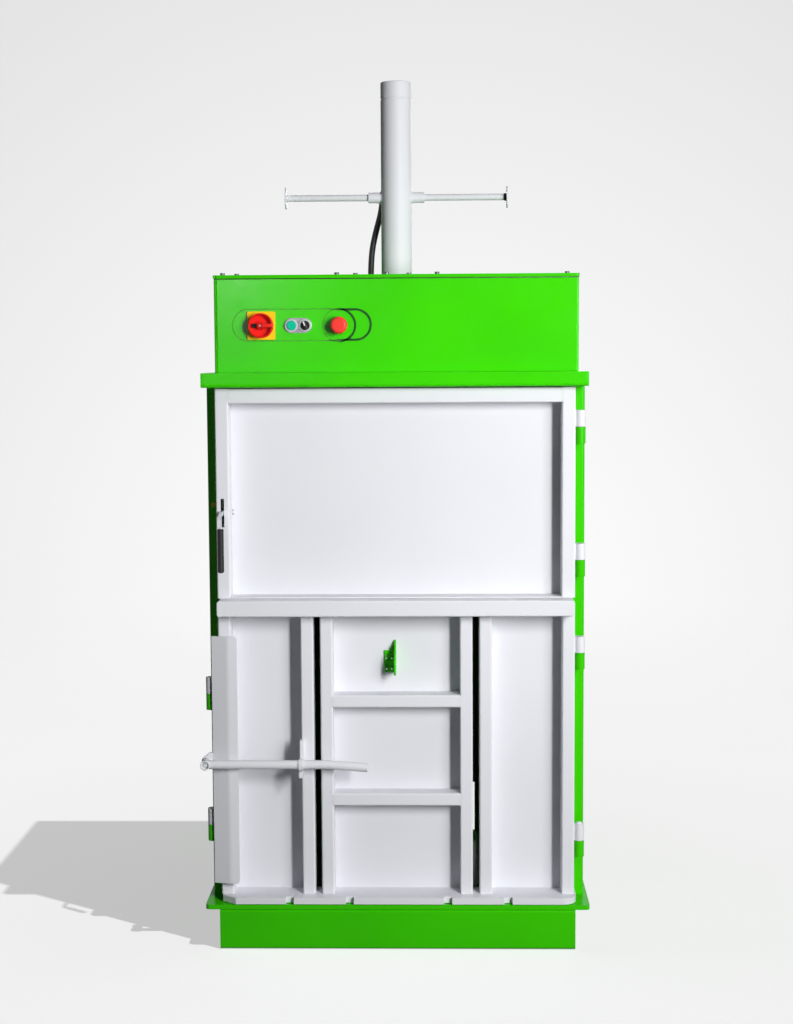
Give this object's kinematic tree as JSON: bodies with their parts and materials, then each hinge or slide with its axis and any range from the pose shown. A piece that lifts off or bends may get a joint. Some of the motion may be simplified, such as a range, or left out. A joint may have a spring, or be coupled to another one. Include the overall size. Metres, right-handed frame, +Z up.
{
  "type": "recycling baler",
  "caption": "Vertical hydraulic recycling baler with a press plate under a long cylinder, two front doors, strap slots, a drop-lever clamp lock, strap reel arms and a control housing",
  "frame": {"origin": "on the ground under the middle of the base", "axes": "+Z up, the doors face -Y, +X to the right seen from the front"},
  "size_m": [0.9205, 0.682, 2.078],
  "materials": {
    "green_paint": "glossy powder coat",
    "light_paint": "satin powder coat",
    "zinc": "zinc plated",
    "chrome": "hard chromed and ground",
    "dark_paint": "satin paint",
    "cast_iron": "machined casting",
    "black_rubber": "smooth hose cover",
    "black_plastic": "matt moulded",
    "yellow_plastic": "glossy moulded",
    "red_plastic": "glossy moulded",
    "teal_plastic": "glossy moulded"
  },
  "bodies": {
    "frame": {"base_channels": "green_paint", "floor_plate": "green_paint", "floor_bars": "green_paint", "columns": "green_paint", "side_walls": "green_paint", "side_ribs": "green_paint", "rear_wall": "green_paint", "rear_ribs": "green_paint", "front_beam": "green_paint", "top_beams": "green_paint", "press_beams": "green_paint", "cylinder_barrel": "light_paint", "cylinder_gland": "zinc", "cylinder_flange": "green_paint", "reel_sleeves": "light_paint", "reel_arms": "light_paint", "hose": "black_rubber", "hose_fittings": "zinc", "oil_tank": "dark_paint", "motor": "dark_paint", "pump": "cast_iron", "housing_shell": "green_paint", "housing_rear": "green_paint", "top_cover": "green_paint", "cover_bolts": "zinc", "isolator_plate": "yellow_plastic", "button_plate": "zinc", "control_bezels": "zinc", "frame_hinges": "green_paint", "hinge_pins": "zinc"},
    "press_plate": {"ram": "chrome", "ram_pin": "zinc", "platen_plate": "light_paint", "platen_ribs": "light_paint", "guide_shoes": "black_plastic"},
    "isolator": {"isolator_knob": "red_plastic"},
    "start": {"start_button": "teal_plastic"},
    "selector": {"selector_knob": "black_plastic"},
    "stop": {"estop_head": "red_plastic"},
    "upper_door": {"upper_door_frame": "light_paint", "upper_door_sheet": "light_paint", "upper_door_barrels": "light_paint", "latch_pin": "zinc"},
    "latch": {"latch_handle": "zinc", "latch_grip": "black_plastic"},
    "lower_door": {"lower_door_stiles": "light_paint", "slot_rails": "light_paint", "centre_rails": "light_paint", "crossbar": "light_paint", "bottom_lip": "light_paint", "lower_door_sheets": "light_paint", "lower_door_barrels": "light_paint", "lever_keeper": "light_paint", "knife_bracket": "green_paint"},
    "clamp_bar": {"lock_bar": "light_paint", "clamp_strip": "light_paint", "lock_barrels": "light_paint", "lever_lug": "light_paint", "lever_pin": "zinc"},
    "drop_lever": {"lever": "light_paint"}
  },
  "joints": [
    {"name": "press_slide", "type": "slide", "parent": "frame", "child": "press_plate", "axis": [0, 0, -1], "range_m": [0, 0.58]},
    {"name": "isolator_turn", "type": "hinge", "parent": "frame", "child": "isolator", "pos_m": [-0.3105, -0.289, 1.4805], "axis": [0, -1, 0], "range_deg": [0, 90]},
    {"name": "start_press", "type": "slide", "parent": "frame", "child": "start", "axis": [0, 1, 0], "range_m": [0, 0.004], "stiffness_N_per_m": 300},
    {"name": "selector_turn", "type": "hinge", "parent": "frame", "child": "selector", "pos_m": [-0.208, -0.289, 1.4805], "axis": [0, 1, 0], "range_deg": [0, 60]},
    {"name": "stop_press", "type": "slide", "parent": "frame", "child": "stop", "axis": [0, 1, 0], "range_m": [0, 0.005], "stiffness_N_per_m": 500},
    {"name": "upper_door_hinge", "type": "hinge", "parent": "frame", "child": "upper_door", "pos_m": [0.434, -0.285, 1.085], "axis": [0, 0, 1], "range_deg": [0, 150]},
    {"name": "latch_pivot", "type": "hinge", "parent": "upper_door", "child": "latch", "pos_m": [-0.407, -0.27, 1.043], "axis": [-1, 0, 0], "range_deg": [0, 40]},
    {"name": "lower_door_hinge", "type": "hinge", "parent": "frame", "child": "lower_door", "pos_m": [0.434, -0.285, 0.481], "axis": [0, 0, 1], "range_deg": [0, 150]},
    {"name": "clamp_bar_hinge", "type": "hinge", "parent": "lower_door", "child": "clamp_bar", "pos_m": [-0.4415, -0.285, 0.451], "axis": [0, 0, -1], "range_deg": [0, 120]},
    {"name": "lever_pivot", "type": "hinge", "parent": "clamp_bar", "child": "drop_lever", "pos_m": [-0.452, -0.33, 0.448], "axis": [0, -1, 0], "range_deg": [0, 60]}
  ]
}
